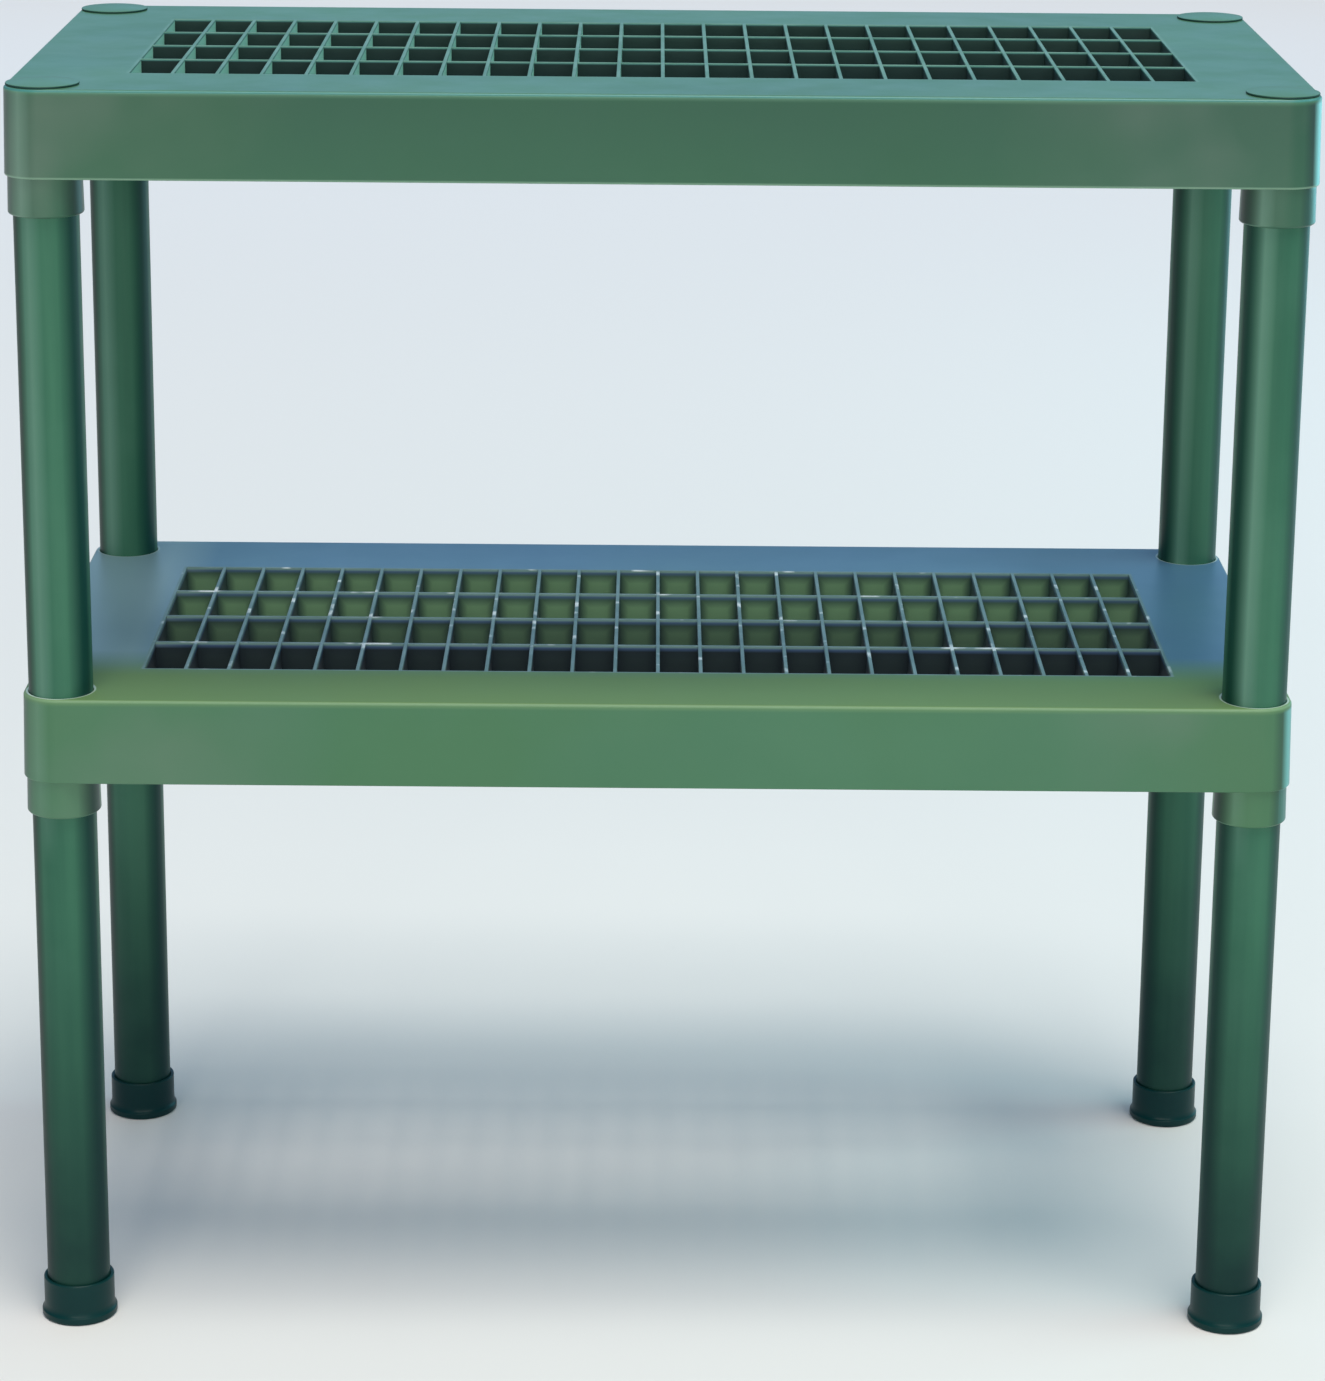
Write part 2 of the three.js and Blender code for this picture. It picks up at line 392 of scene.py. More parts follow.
# %% Stiffening walls
STIFFENER_WALL = 2 * MM
STIFFENER_DEPTH = 18 * MM
RIBS_PER_STIFFENER = 3
top = -DECK_THICKNESS / 2
bottom = -STIFFENER_DEPTH
stiffened_ribs = range(RIBS_PER_STIFFENER, LATTICE_COLUMNS, RIBS_PER_STIFFENER)
along_x = [-rib_x, rib_x, *(rib * column_pitch - rib_x for rib in stiffened_ribs)]
along_y = [-rib_y, rib_y, *(rib * row_pitch - rib_y for rib in range(1, LATTICE_ROWS))]
reach_x = half_width - SKIRT_WALL / 2
reach_y = half_depth - SKIRT_WALL / 2
thick = STIFFENER_WALL / 2
walls = []
for x in along_x:
    for near, far in ((rib_y, reach_y), (-reach_y, -rib_y)):
        walls.append(block("wall", (x - thick, near, bottom), (x + thick, far, top)))
for y in along_y:
    for near, far in ((rib_x, reach_x), (-reach_x, -rib_x)):
        walls.append(block("wall", (near, y - thick, bottom), (far, y + thick, top)))
stiffeners = joined("stiffeners", walls)
print("stiffening walls:", len(walls))

# %% [markdown]
# ## The corner sockets
#
# In each corner a round socket runs through the deck and ends in a collar below the skirt. The
# leg pushes in from below and the post from above, and both stop at a ledge inside. The outside
# of the socket is one turned body, and its bore is another, which is cut out afterwards.

# %% Sizes of the sockets
BORE_GAP = 0.3 * MM
SOCKET_WALL = 2.2 * MM
COLLAR_FLARE = 0.4 * MM
COLLAR_ROUND = 1.6 * MM
LEDGE_THICKNESS = 3 * MM
LEDGE_WIDTH = 4.5 * MM
MOUTH_ROUND = 0.5 * MM
BORE_OVERLAP = 2 * MM
overrun = 1 * MM
bore_radius = tube_radius + BORE_GAP
socket_radius = bore_radius + SOCKET_WALL
ledge_top = -(socket_depth - LEDGE_THICKNESS) / 2
ledge_bottom = ledge_top - LEDGE_THICKNESS
ledge_radius = bore_radius - LEDGE_WIDTH
print("bore radius in mm:", round(bore_radius / MM, 2), "depth:", round(socket_depth / MM, 1))

# %% Outside and bore of one socket
collar = socket_radius + COLLAR_FLARE
outside = [(bore_radius - BORE_OVERLAP, -socket_depth), (collar - BORE_OVERLAP, -socket_depth)]
outside += arc(collar - COLLAR_ROUND, -socket_depth + COLLAR_ROUND, COLLAR_ROUND, -80, 0, 5)
outside += [(socket_radius, -SKIRT_HEIGHT), (socket_radius, -DECK_THICKNESS / 2)]

mouth = bore_radius + MOUTH_ROUND
half_round = bore_radius + 0.15 * MOUTH_ROUND, -0.4 * MOUTH_ROUND
inside = [(mouth, -socket_depth - overrun), (mouth, -socket_depth)]
inside += [(bore_radius, -socket_depth + MOUTH_ROUND), (bore_radius, ledge_bottom)]
inside += [(ledge_radius, ledge_bottom), (ledge_radius, ledge_top), (bore_radius, ledge_top)]
inside += [(bore_radius, -MOUTH_ROUND), half_round, (mouth, 0), (mouth, overrun)]
print("outside rings:", len(outside), "bore rings:", len(inside))

# %% [markdown]
# The four sockets and the four bores are copies of one turned body each, set on the post axes.
# A copy of a mesh is moved inside its own mesh, so that its object stays at the origin.

# %% Copy to the corners
def copied(piece, name, place):
    """A copy with its own mesh, moved to a place."""
    make_active(piece)
    bpy.ops.object.duplicate()
    copy = bpy.context.object
    copy.name = name
    copy.data.name = name
    bpy.ops.transform.translate(value=place)
    bpy.ops.object.transform_apply()
    return copy


def at_corners(piece):
    """Four copies of a round body on the post axes, as one object. The first is removed."""
    copies = [copied(piece, piece.name, (p.x, p.y, 0)) for p in corner_places.values()]
    bpy.data.objects.remove(piece)
    return joined("corners", copies)


sockets = at_corners(turned("socket", outside))
bores = at_corners(turned("bore", inside))
print("socket vertices:", len(sockets.data.vertices))

# %% [markdown]
# ## One moulding out of many bodies
#
# First the deck loses the window that the lattice fills. Then lattice, walls and sockets are
# joined to the tray, and the bores are cut through everything last, so that nothing is left
# inside them. The result is checked for open edges before it is copied.

# %% Put the shelf together
WELD = 0.002 * MM
window = block("window", (-rib_x, -rib_y, -2 * DECK_THICKNESS), (rib_x, rib_y, overrun))
combine(tray, window, "DIFFERENCE")
for body in (lattice, stiffeners, sockets):
    combine(tray, body, "UNION")
combine(tray, bores, "DIFFERENCE")
pick(tray, "VERT", lambda vertex: True)
bpy.ops.mesh.remove_doubles(threshold=WELD)
bpy.ops.mesh.select_all(action="DESELECT")
bpy.ops.mesh.select_non_manifold()
clear_selection()
faulty = sum(vertex.select for vertex in tray.data.vertices)
print("shelf faces:", len(tray.data.polygons), "open or doubled:", faulty)

# %% [markdown]
# ## Smooth and sharp
#
# Shading by angle keeps flat walls flat and makes round ones round. Weighted normals then let
# the large flat faces decide how the small rounds meet them, so that the deck stays level up to
# its edge.

# %% The shading tool
FLAT_ANGLE, ROUND_ANGLE = 32, 40


def shade(piece, degrees=FLAT_ANGLE):
    make_active(piece)
    bpy.ops.object.shade_smooth_by_angle(angle=math.radians(degrees))
    weighted = piece.modifiers.new("weighted", "WEIGHTED_NORMAL")
    weighted.keep_sharp = True
    bpy.ops.object.modifier_apply(modifier=weighted.name)


shade(tray)
print("smooth where faces meet below", FLAT_ANGLE, "degrees")

# %% [markdown]
# Each finished body is copied to its places. A copy is tied to the CAD node that it stands for: it
# rides on the bench's one rigid body, and it takes the place of that node.

# %% Copies in their places
dressed = {}


def set_out(original, node, ending, place):
    """A copy of a finished body in its place, tied to its CAD node."""
    piece = copied(original, f"{node}_{ending}", place)
    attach(piece, "root")
    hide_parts(node)
    dressed[node] = piece


def set_out_at_corners(original, heights, ending):
    """Copies on the post axes, for each kind of node at its height. The first is removed."""
    for corner, place in corner_places.items():
        for kind, height in heights.items():
            set_out(original, f"{kind}_{corner}", ending, (place.x, place.y, height))
    bpy.data.objects.remove(original)


for node, level in deck_levels.items():
    set_out(tray, node, "moulding", (0, 0, level))
bpy.data.objects.remove(tray)
print("shelves:", [piece.name for piece in dressed.values()])

# %% [markdown]
# ## The tubes
#
# Legs and posts are the same plain tube, cut to length from a long extrusion. The saw leaves a
# sharp end, and a quick pass of a knife takes the burr off, so the ends have only a tiny round.

# %% One tube, then eight
TUBE_WALL = 2 * MM
TUBE_END_ROUND = 0.4 * MM
inner_radius = tube_radius - TUBE_WALL
end_radius = tube_radius - TUBE_END_ROUND
tube_profile = [(inner_radius, 0), (end_radius, 0), (tube_radius, TUBE_END_ROUND)]
tube_profile += [(tube_radius, tube_length - TUBE_END_ROUND), (end_radius, tube_length)]
tube_profile += [(inner_radius, tube_length)]
tube = turned("tube", tube_profile, hollow=True)
shade(tube)
set_out_at_corners(tube, {"leg": leg_low.z, "post": post_low.z}, "tube")
print("pieces so far:", len(dressed))

# %% [markdown]
# ## The foot cups
#
# A cup closes the bottom of each leg and spreads the load. It has a rounded rim where the leg
# goes in, a straight wall, and a lip that swells out just above the floor. The lip and the rim
# both show as a thin line of light in the photograph, so their curves are made of many rings.

# %% One cup, then four
foot_height = foot_high.z - foot_low.z
lip_radius = (foot_high.x - foot_low.x) / 2
FOOT_FLOOR = 5 * MM
FOOT_WALL = 2.15 * MM
FOOT_TREAD = 1.6 * MM
LIP_HEIGHT = 4.5 * MM
LIP_ROUND = 0.8 * MM
FLARE_HEIGHT = 4 * MM
FLARE_START = 0.75  # the share of the swell that is left above the lip
FLARE_STEPS = 5
RIM_ROUND = 1 * MM
RIM_DROP = 0.3 * MM
cup_radius = bore_radius + FOOT_WALL
swell = lip_radius - cup_radius
cup_profile = arc(lip_radius - FOOT_TREAD, FOOT_TREAD, FOOT_TREAD, -90, 0, 5)
cup_profile += arc(lip_radius - LIP_ROUND, LIP_HEIGHT - LIP_ROUND / 2, LIP_ROUND, 0, 50, 3)
for step in range(1, FLARE_STEPS + 1):
    share = step / FLARE_STEPS
    spread = swell * FLARE_START * (1 - share) ** 2
    cup_profile.append((cup_radius + spread, LIP_HEIGHT + FLARE_HEIGHT * share))
cup_profile += arc(cup_radius - RIM_ROUND, foot_height - RIM_ROUND, RIM_ROUND, 0, 90, 5)
cup_profile += [(bore_radius, foot_height - RIM_DROP), (bore_radius, FOOT_FLOOR)]
cup = turned("cup", cup_profile)
shade(cup, ROUND_ANGLE)
set_out_at_corners(cup, {"foot": foot_low.z}, "cup")
print("cup height and radius in mm:", round(foot_height / MM, 1), round(lip_radius / MM, 2))

# %% [markdown]
# ## The plugs of the upper shelf
#
# No post stands on the upper shelf, so a round plug closes each of its corner holes. It is a
# slightly domed disc with a short skirt that grips the bore. Only the disc shows, and its thin
# edge lies a hair above the deck, which draws a fine dark line round it.

# %% One plug, then four
flange_radius = (cap_high.x - cap_low.x) / 2
deck = deck_levels["upper_shelf"]
dome_top = cap_high.z - deck
plug_bottom = cap_low.z - deck
CAP_GAP = 0.3 * MM
CAP_RIM = 1.1 * MM
CAP_WALL = 1.8 * MM
CAP_EDGE = 0.45 * MM
PLUG_CHAMFER = 1 * MM
DOME_STEPS = 10
rim_top = CAP_GAP + CAP_RIM
ceiling = dome_top - CAP_WALL
cap_profile = [(tube_radius - CAP_WALL, ceiling), (tube_radius - CAP_WALL, plug_bottom)]
cap_profile += [(tube_radius - PLUG_CHAMFER, plug_bottom), (tube_radius, plug_bottom + PLUG_CHAMFER)]
cap_profile += [(tube_radius, CAP_GAP), (flange_radius - CAP_EDGE / 2, CAP_GAP)]
cap_profile += [(flange_radius, CAP_GAP + CAP_EDGE / 2)]
cap_profile += arc(flange_radius - CAP_EDGE, rim_top - CAP_EDGE, CAP_EDGE, 0, 70, 3)
dome_radius = flange_radius - CAP_EDGE
for step in range(1, DOME_STEPS):
    share = 1 - step / DOME_STEPS
    height = rim_top + (dome_top - rim_top) * (1 - share * share)
    cap_profile.append((dome_radius * share, height))
plug = turned("plug", cap_profile)
shade(plug, ROUND_ANGLE)
set_out_at_corners(plug, {"cap": deck}, "plug")
print("dressed pieces:", len(dressed))

# %% [markdown]
# ## Green moulded plastic
#
# The shelves are polypropylene, coloured in the mass. Moulded plastic is never quite even: the
# pigment swirls a little, the surface has a fine grain from the mould, and weather makes it
# chalky in patches. Noise on Object coordinates gives all three, so that the pattern is fixed to
# the bench. Gloss comes from the shader and the lights. A few helpers come first, because every
# finish below is built from the same few nodes.

# %% Colours and a new material
def colour(red, green, blue):
    """A screen colour from 0 to 255 as the shader's linear colour."""
    linear = []
    for value in (red, green, blue):
        share = value / 255
        linear.append(share / 12.92 if share <= 0.04045 else ((share + 0.055) / 1.055) ** 2.4)
    return (*linear, 1)


def new_paint(name):
    """A node material with one shader, and its Object coordinates and normals at hand."""
    material = bpy.data.materials.new(name)
    material.use_nodes = True
    nodes, links = material.node_tree.nodes, material.node_tree.links
    nodes.clear()
    output = nodes.new("ShaderNodeOutputMaterial")
    shader = nodes.new("ShaderNodeBsdfPrincipled")
    coordinates = nodes.new("ShaderNodeTexCoord").outputs
    links.new(shader.outputs["BSDF"], output.inputs["Surface"])
    paint = SimpleNamespace(material=material, nodes=nodes, links=links, shader=shader)
    paint.place, paint.normal = coordinates["Object"], coordinates["Normal"]
    return paint


print("mid green as linear:", [round(v, 3) for v in colour(84, 132, 102)])

# %% Noise, slopes and blends
def noise(paint, scale, detail, stretch=None):
    """Noise fixed to the piece. Stretch gives each axis a scale of its own."""
    source = paint.place
    if stretch:
        mapping = paint.nodes.new("ShaderNodeMapping")
        mapping.inputs["Scale"].default_value = stretch
        paint.links.new(source, mapping.inputs["Vector"])
        source = mapping.outputs["Vector"]
    texture = paint.nodes.new("ShaderNodeTexNoise")
    texture.inputs["Scale"].default_value = scale
    texture.inputs["Detail"].default_value = detail
    paint.links.new(source, texture.inputs["Vector"])
    return texture.outputs["Fac"]


def ramp(paint, source, start, end, low=0, high=1):
    """Low where the source is at start, high where it is at end, and between them a slope."""
    ranged = paint.nodes.new("ShaderNodeMapRange")
    for socket, value in zip(("From Min", "From Max", "To Min", "To Max"), (start, end, low, high)):
        ranged.inputs[socket].default_value = value
    paint.links.new(source, ranged.inputs["Value"])
    return ranged.outputs["Result"]


def blend(paint, share, one, two, kind="RGBA"):
    """Blend two colours or, as kind FLOAT, two numbers. Each is a socket or a fixed value."""
    mix = paint.nodes.new("ShaderNodeMix")
    mix.data_type = kind
    paint.links.new(share, mix.inputs["Factor"])
    for socket, value in ((mix.inputs["A"], one), (mix.inputs["B"], two)):
        if isinstance(value, (tuple, float)):
            socket.default_value = value
        else:
            paint.links.new(value, socket)
    return mix.outputs["Result"]


print("noise, slopes and blends ready")

# %% Sums on places
def part_of(paint, vector, axis):
    """The X, Y or Z of a vector."""
    split = paint.nodes.new("ShaderNodeSeparateXYZ")
    paint.links.new(vector, split.inputs["Vector"])
    return split.outputs[axis]


def reckon(paint, operation, source, other):
    """A Math node on a socket and another socket or a fixed value."""
    sum_node = paint.nodes.new("ShaderNodeMath")
    sum_node.operation = operation
    paint.links.new(source, sum_node.inputs[0])
    if isinstance(other, (int, float)):
        sum_node.inputs[1].default_value = other
    else:
        paint.links.new(other, sum_node.inputs[1])
    return sum_node.outputs["Value"]


def along(paint, axis, beside=False):
    """One Object coordinate in metres. Beside takes the distance from the middle instead."""
    place = part_of(paint, paint.place, axis)
    return reckon(paint, "ABSOLUTE", place, 0) if beside else place


def product(paint, first, *others):
    """Shares multiplied with each other: it holds only where all of them hold."""
    for other in others:
        first = reckon(paint, "MULTIPLY", first, other)
    return first


print("sums ready")

# %% [markdown]
# The plastics share one recipe, because the real pieces are the same green polymer. The tubes
# are extruded, so they get faint streaks along their length where the mouldings have swirls.
# What years outdoors have added comes on top as stains, and so do painted light and shade, each with
# its own place and colour, and with a roughness of its own where it isn't as smooth as the plastic.

# %% The plastic recipe
GRAIN_DEPTH = 0.1 * MM
WAVE_DEPTH = 0.7 * MM
PLASTIC_IOR = 1.49
SWIRLED = 3, 5, 4
STREAKED = 26, 26, 1.2
LENGTHWISE = 1, 1, 0.2


def moulded_grain(paint, wave_stretch):
    """A fine grain from the mould and slow waves in the wall, as one normal."""
    normal = None
    grain = noise(paint, 700, 2)
    waves = noise(paint, 9, 2, wave_stretch)
    for height, strength, distance in ((grain, 0.12, GRAIN_DEPTH), (waves, 0.3, WAVE_DEPTH)):
        bump = paint.nodes.new("ShaderNodeBump")
        bump.inputs["Strength"].default_value = strength
        bump.inputs["Distance"].default_value = distance
        paint.links.new(height, bump.inputs["Height"])
        if normal:
            paint.links.new(normal, bump.inputs["Normal"])
        normal = bump.outputs["Normal"]
    return normal


def green_plastic(name, body, deep, chalk, rough, gloss, streaks=False, stains_and_painted_light=()):
    """Body colour with deeper swirls and a chalky bloom, stains and painted light and shade on top,
    and a moulded grain.
    """
    paint = new_paint(name)
    swirl = noise(paint, 2.2, 4, STREAKED if streaks else SWIRLED)
    mixed = blend(paint, ramp(paint, swirl, 0.3, 0.7), body, deep)
    bloom = noise(paint, 11, 6)
    mixed = blend(paint, ramp(paint, bloom, 0.48, 0.85, 0, 0.35), mixed, chalk)
    sheen = ramp(paint, noise(paint, 30, 5), 0.35, 0.65, rough - 0.03, rough + 0.05)
    for place, tint, *dullness in stains_and_painted_light:
        share = place(paint)
        mixed = blend(paint, share, mixed, tint)
        sheen = blend(paint, share, sheen, dullness[0] if dullness else rough, "FLOAT")
    paint.links.new(mixed, paint.shader.inputs["Base Color"])
    paint.links.new(sheen, paint.shader.inputs["Roughness"])
    grain = moulded_grain(paint, LENGTHWISE if streaks else None)
    paint.links.new(grain, paint.shader.inputs["Normal"])
    paint.shader.inputs["IOR"].default_value = PLASTIC_IOR
    paint.shader.inputs["Specular IOR Level"].default_value = gloss
    return paint.material


print("recipe ready, grain in mm:", round(GRAIN_DEPTH / MM, 2))

# %% [markdown]
# ## Painted shade and light in the lattice
#
# The walls of the holes are painted dark, as painted shade. The walls that face right are painted pale
# instead, as painted sunlight: they make the ribs on the left half of the upper shelf look wide. One
# could paint such a picture by hand, but a product of slopes along the axes stays sharp at any
# distance. Each stain and each painted mark is a function that returns its share, from 0 to 1. The
# lists of them are written before their materials exist, so a decorator keeps the settings until then.

# %% Walls of the holes
SUNLIT = 0.8  # the share of a hole's depth that the sun reaches in full


def stain_and_painted_light(share):
    """Set a share up now, for a list of stains and painted light and shade, and work it out on a paint
    later.
    """

    def set_up(*settings, **named):
        return lambda paint: share(paint, *settings, **named)

    return set_up


def in_lattice(paint):
    """Share of what lies inside the frame of the lattice."""
    inside_x = ramp(paint, along(paint, "X", beside=True), lattice_reach[0], rib_x)
    inside_y = ramp(paint, along(paint, "Y", beside=True), lattice_reach[1], rib_y)
    return product(paint, inside_x, inside_y)


def hole_walls(paint, level):
    """Share of the walls of the lattice holes under a deck."""
    below = ramp(paint, along(paint, "Z"), level - RIB_ROUND, level - 3 * RIB_ROUND)
    return product(paint, in_lattice(paint), below)


@stain_and_painted_light
def hole_shade_and_light(paint, level, front, back):
    """Painted shade and light on the walls of the holes, from the front row to the back row."""
    row = ramp(paint, along(paint, "Y"), -lattice_depth / 4, lattice_depth / 4, front, back)
    return product(paint, hole_walls(paint, level), row)


@stain_and_painted_light
def sunlit_walls(paint, level, strength):
    """Painted sunlight on the walls of the holes that face right, down to where the sun reaches."""
    sunny = ramp(paint, part_of(paint, paint.normal, "X"), 0.3, 0.8, 0, strength)
    sun_foot = level - LATTICE_DEPTH
    lit = ramp(paint, along(paint, "Z"), sun_foot, level - SUNLIT * LATTICE_DEPTH)
    return product(paint, hole_walls(paint, level), sunny, lit)


print("lattice reach in mm:", [round(side / MM, 1) for side in lattice_reach])

# %% [markdown]
# The corners of the holes and the walls just under the ribs get painted shade. The ribs repeat at an
# even pitch, so one Ping-Pong node gives the distance to the nearest of them.

# %% Painted shade beside the ribs
CORNER_SHADE = 6 * MM


@stain_and_painted_light
def corner_shade(paint, level, strength):
    """Painted shade on the walls of the holes beside and just under the ribs."""
    to_rib = reckon(paint, "PINGPONG", along(paint, "X"), column_pitch / 2)
    beside = ramp(paint, to_rib, RIB / 2, RIB / 2 + CORNER_SHADE, 1, 0)
    under = ramp(paint, along(paint, "Z"), level - 1.5 * CORNER_SHADE, level - RIB)
    dirt = ramp(paint, reckon(paint, "MAXIMUM", beside, under), 0, 1, 0, strength)
    return product(paint, hole_walls(paint, level), dirt)


print("dirt reaches in mm:", round(CORNER_SHADE / MM, 1))

# %% [markdown]
# Pots and trays slide over the ribs. Their tops are dull where nothing has touched them and rubbed
# pale in patches, and a few short places carry painted glints, nearly white.

# %% Tops of the ribs
@stain_and_painted_light
def rib_tops(paint, level, front, back):
    """Tops of the ribs, from the front row to the back row."""
    on_top = ramp(paint, along(paint, "Z"), level - 1.5 * RIB_ROUND, level - 0.5 * RIB_ROUND)
    row = ramp(paint, along(paint, "Y"), -lattice_depth / 3, lattice_depth / 3, front, back)
    return product(paint, in_lattice(paint), on_top, row)


@stain_and_painted_light
def rubbed_ribs(paint, level, front, back):
    """Tops of the ribs where they are rubbed, broken up by noise."""
    rubbed = ramp(paint, noise(paint, 34, 3), 0.4, 0.62, 0.3, 1)
    return product(paint, rib_tops(level, front, back)(paint), rubbed)


@stain_and_painted_light
def rib_glints(paint, level, strength):
    """Painted glints, short and nearly white, on the tops of the ribs, here and there."""
    spots = ramp(paint, noise(paint, 42, 2), 0.6, 0.68)
    return product(paint, rib_tops(level, strength, strength)(paint), spots)


print("rib width in mm:", round(RIB / MM, 1))

# %% [markdown]
# ## Painted light and shade on the decks
#
# The sun has bleached the upper deck. The lower deck stands in its shade, painted as a cool grey-blue
# shade with the sky that it mirrors, paler at the left end, except for a strip along its front, which
# is painted warm green as sunlight. The narrow land round each socket carries a painted pale
# highlight.

# %% Decks and socket rims
STRIP_OFFSET = 14 * MM
STRIP_EDGE = 26 * MM
LEFT_FADE = 20 * MM, -10 * MM
RIM_LAND = 0.9 * MM
RIM_FADE = 0.8 * MM
RIM_REACH = 60 * MM
strip_middle = -lattice_reach[1] + STRIP_OFFSET


@stain_and_painted_light
def deck_light_and_shade(paint, level, strength, front):
    """The upper face of a deck: its front strip, for painted sunlight, or all that lies behind it, for
    painted shade.
    """
    ends = strip_middle - STRIP_EDGE, strip_middle + STRIP_EDGE
    place = ramp(paint, along(paint, "Y"), *(reversed(ends) if front else ends))
    on_top = ramp(paint, along(paint, "Z"), level - 2 * DECK_EDGE, level - RIB_ROUND)
    uneven = ramp(paint, noise(paint, 5, 4), 0.3, 0.7, 0.8 * strength, strength)
    return product(paint, place, on_top, uneven)


@stain_and_painted_light
def left_end_light(paint, level, strength):
    """Painted light on the upper face of a deck at its left end, behind the front strip."""
    fade = (offset - lattice_reach[0] for offset in LEFT_FADE)
    beside = ramp(paint, along(paint, "X"), *fade)
    return product(paint, beside, deck_light_and_shade(level, strength, front=False)(paint))


@stain_and_painted_light
def socket_rim_highlight(paint, level, strength):
    """A painted highlight on the narrow land round the corner sockets."""
    from_post = paint.nodes.new("ShaderNodeCombineXYZ")
    for axis, post in (("X", post_x), ("Y", post_y)):
        reach = post - RIM_REACH, post + RIM_REACH, -RIM_REACH, RIM_REACH
        offset = ramp(paint, along(paint, axis, beside=True), *reach)
        paint.links.new(offset, from_post.inputs[axis])
    distance = paint.nodes.new("ShaderNodeVectorMath")
    distance.operation = "LENGTH"
    paint.links.new(from_post.outputs["Vector"], distance.inputs[0])
    near = bore_radius + RIM_LAND
    ring = ramp(paint, distance.outputs["Value"], near + RIM_FADE, near, 0, strength)
    on_top = ramp(paint, along(paint, "Z"), level - 2 * DECK_EDGE, level - DECK_EDGE)
    return product(paint, ring, on_top, ramp(paint, noise(paint, 25, 3), 0.35, 0.6, 0.4, 1))


print("front strip fades over", round(2 * STRIP_EDGE / MM, 1), "mm")

# %% [markdown]
# ## Painted shade and highlights on skirts and edges
#
# Both skirts are darkened as painted shade, the upper one to a deeper green than its deck, and both
# are mottled; towards the ends both skirts are greyer. The round edge of each deck and the lower edge
# of the upper skirt, its hem, carry painted highlights.

# %% Skirts, edges and hem
PATCH_MARGIN = 40 * MM


@stain_and_painted_light
def skirt_shade(paint, level, strength, bottom_strength):
    """Painted shade on the skirt and collars under a deck's edge."""
    height = along(paint, "Z")
    hem, edge = level - SKIRT_HEIGHT, level - DECK_EDGE
    below = ramp(paint, height, level - DECK_EDGE / 2, level - 2 * DECK_EDGE)
    return product(paint, below, ramp(paint, height, hem, edge, bottom_strength, strength))


@stain_and_painted_light
def skirt_patches(paint, level, scale, strength, at_ends=0.0):
    """Uneven patches on a skirt, which can grow stronger towards both ends."""
    below = ramp(paint, along(paint, "Z"), level - DECK_EDGE, level - 2 * DECK_EDGE)
    beside = along(paint, "X", beside=True)
    margin = half_width - PATCH_MARGIN
    towards_end = ramp(paint, beside, half_width / 2, margin, 1 - at_ends, 1)
    patch = ramp(paint, noise(paint, scale, 3), 0.42, 0.64, 0.15 * strength, strength)
    return product(paint, below, towards_end, patch)


@stain_and_painted_light
def edge_highlight(paint, level, strength):
    """A painted highlight on the upper half of the round edge of a deck."""
    height = along(paint, "Z")
    above = ramp(paint, height, level - DECK_EDGE, level - 0.5 * DECK_EDGE, 0, strength)
    below = ramp(paint, height, level - 0.05 * DECK_EDGE, level - 0.3 * DECK_EDGE)
    return product(paint, above, below)


@stain_and_painted_light
def hem_highlight(paint, level, strength):
    """A painted highlight on the lower edge of a skirt."""
    hem = level - SKIRT_HEIGHT
    height = along(paint, "Z")
    below = ramp(paint, height, hem + 2 * SKIRT_EDGE, hem + SKIRT_EDGE, 0, strength)
    return product(paint, below, ramp(paint, height, hem - SKIRT_EDGE / 4, hem))


print("hem height in mm:", round(SKIRT_EDGE / MM, 1))

# %% [markdown]
# ## Painted light and shade on what is round
#
# Tubes, collars and the skirts' round corners get painted light and shade by the way they face. Their
# left and right sides are darker as painted shade, a painted highlight runs up their front left, and
# the right-hand corners of the shelves carry a narrow painted highlight. The surface normal says which
# way a point faces: its X is 0 straight ahead, 1 to the right and -1 to the left. The legs also darken
# towards the floor, as painted shade.

# %% Sides of round pieces
LEFT, RIGHT = -1, 1
SKIRT_TURN = 0.982, 0.997
TUBE_TURN = 0.93, 0.99
HIGHLIGHT_FROM = 300 * MM, 360 * MM


@stain_and_painted_light
def side(paint, start, full, strength, end, top=math.inf, turn=SKIRT_TURN):
    """A side of what is round, at one end of the bench and below a height, for painted shade and
    painted highlights. By the way that the surface faces, it grows from start to full and is gone
    again within turn."""
    facing = part_of(paint, paint.normal, "X")
    rise = ramp(paint, facing, start, full, 0, strength)
    fall = ramp(paint, facing, *(math.copysign(limit, full) for limit in turn), 1, 0)
    place = product(paint, rise, fall, ramp(paint, along(paint, "X"), 0, end * post_x / 2))
    if top == math.inf:
        return place
    return product(paint, place, ramp(paint, along(paint, "Z"), top, top - DECK_EDGE))


@stain_and_painted_light
def highlight_strip(paint, start, end, strength):
    """A painted highlight strip up the front left of what is round, from the lower shelf upwards."""
    facing = part_of(paint, paint.normal, "X")
    crest = (start + end) / 2
    rise = ramp(paint, facing, start, crest, 0, strength)
    fall = ramp(paint, facing, crest, end, 1, 0)
    return product(paint, rise, fall, ramp(paint, along(paint, "Z"), *HIGHLIGHT_FROM))


@stain_and_painted_light
def shade_downwards(paint, start, end, strength):
    """Painted shade, stronger from a start height down to an end height, with an uneven upper edge."""
    rise = ramp(paint, along(paint, "Z"), start, end, 0, strength)
    return product(paint, rise, ramp(paint, noise(paint, 14, 4), 0.3, 0.6, 0.8, 1))


print("pale strip starts at", [round(height / MM) for height in HIGHLIGHT_FROM], "mm")

